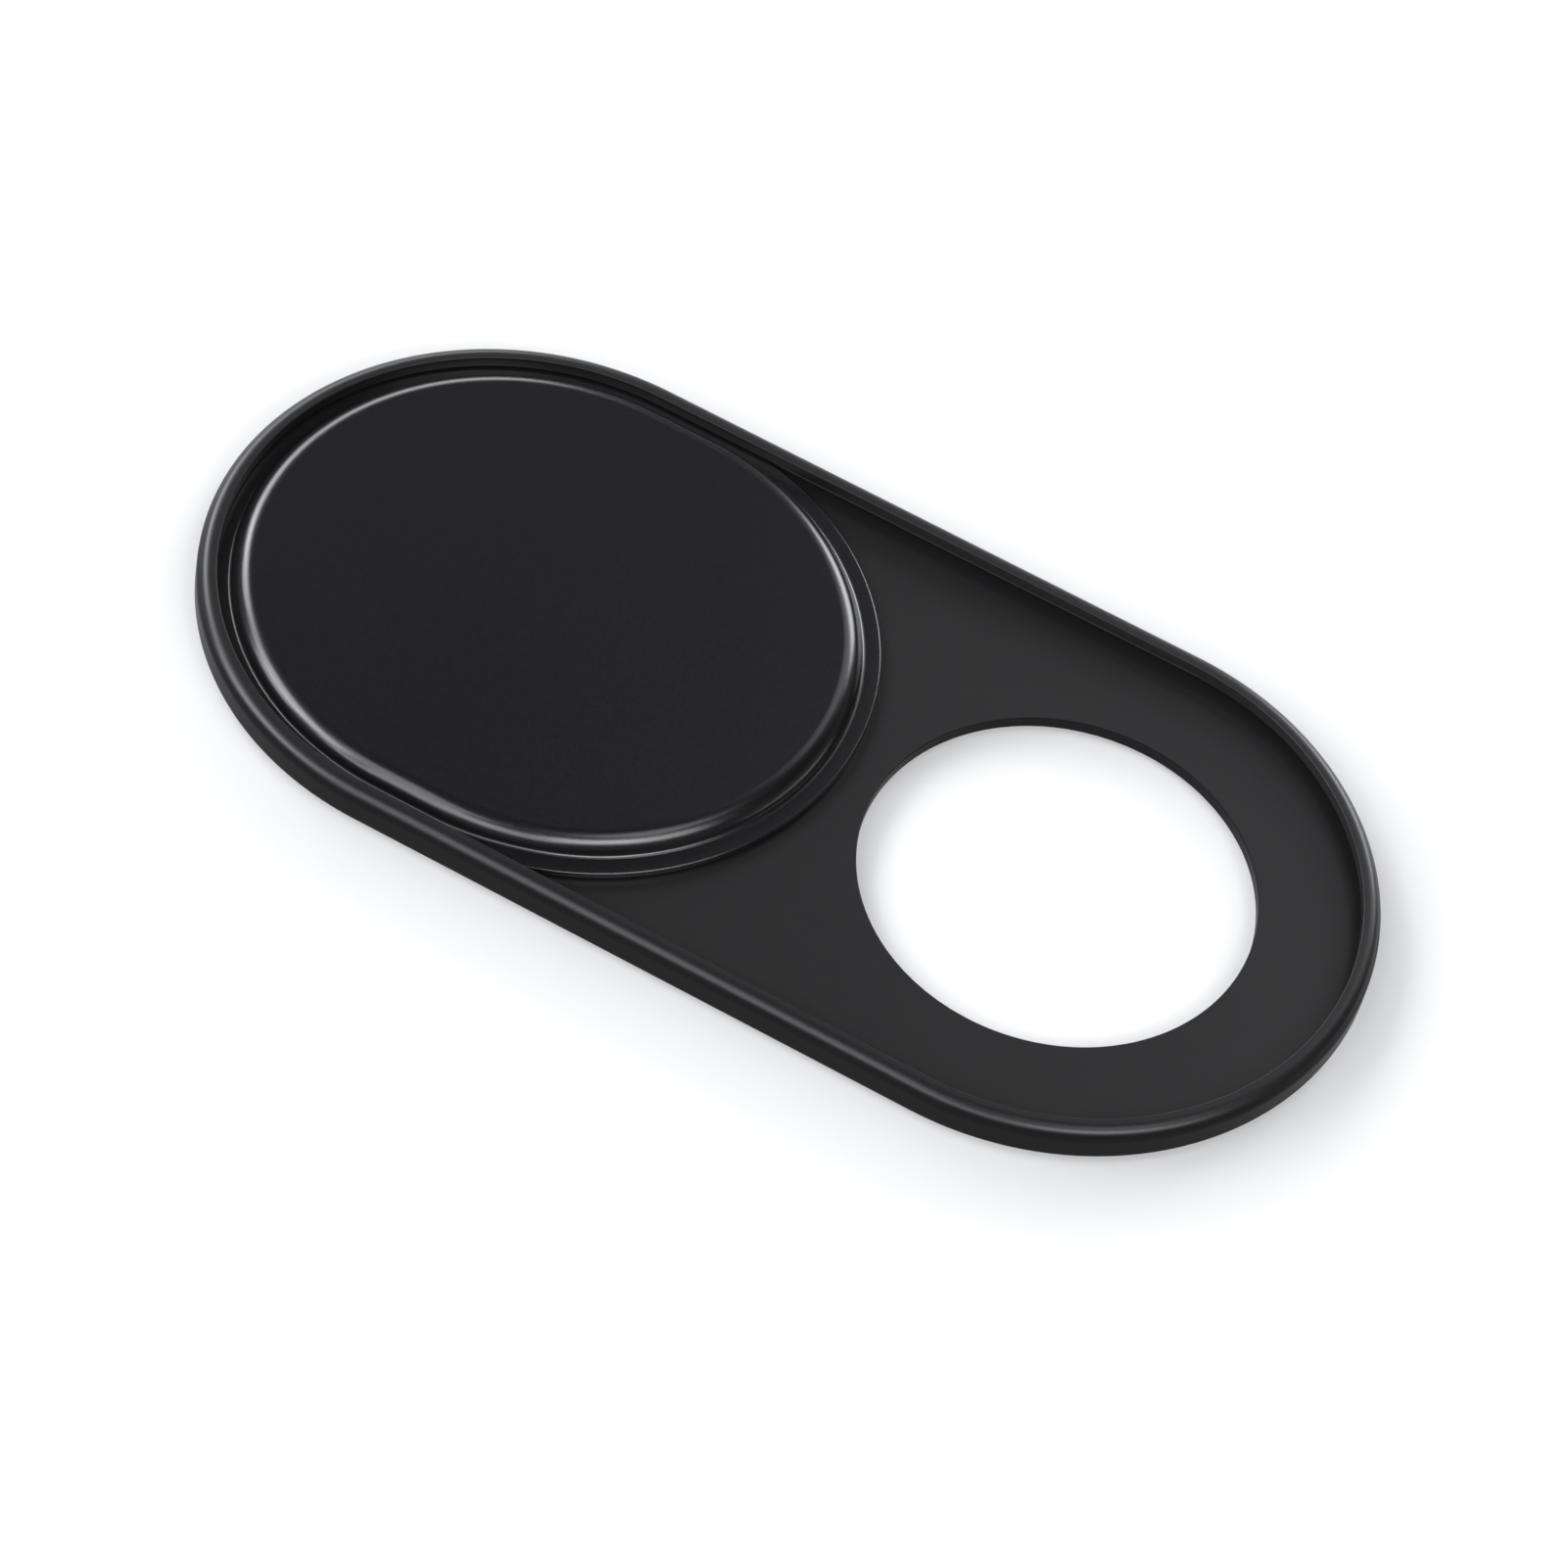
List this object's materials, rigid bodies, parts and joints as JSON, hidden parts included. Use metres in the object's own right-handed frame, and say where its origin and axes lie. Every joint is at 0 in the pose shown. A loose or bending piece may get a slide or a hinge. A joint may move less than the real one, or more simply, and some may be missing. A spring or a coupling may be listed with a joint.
{
  "type": "webcam cover slider",
  "caption": "Thin oval stick-on tray with a round lens hole and a rolled rim that holds a raised oval cover, which slides along it over the camera.",
  "frame": {"origin": "under the middle of the tray, on the face that is stuck to the screen's bezel", "axes": "+X along the tray towards the lens hole, +Y across it, +Z away from the screen"},
  "size_m": [0.018, 0.0092, 0.0007],
  "materials": {
    "tray_paint": "satin black coating on pressed sheet",
    "cover_paint": "satin black coating on pressed sheet",
    "tape": "matt black double-sided tape"
  },
  "bodies": {
    "base": {"tray": "tray_paint", "adhesive_pad": "tape"},
    "slider": {"cover": "cover_paint"}
  },
  "joints": [
    {"name": "cover_slide", "type": "slide", "parent": "base", "child": "slider", "axis": [1, 0, 0], "range_m": [0, 0.00779]}
  ]
}
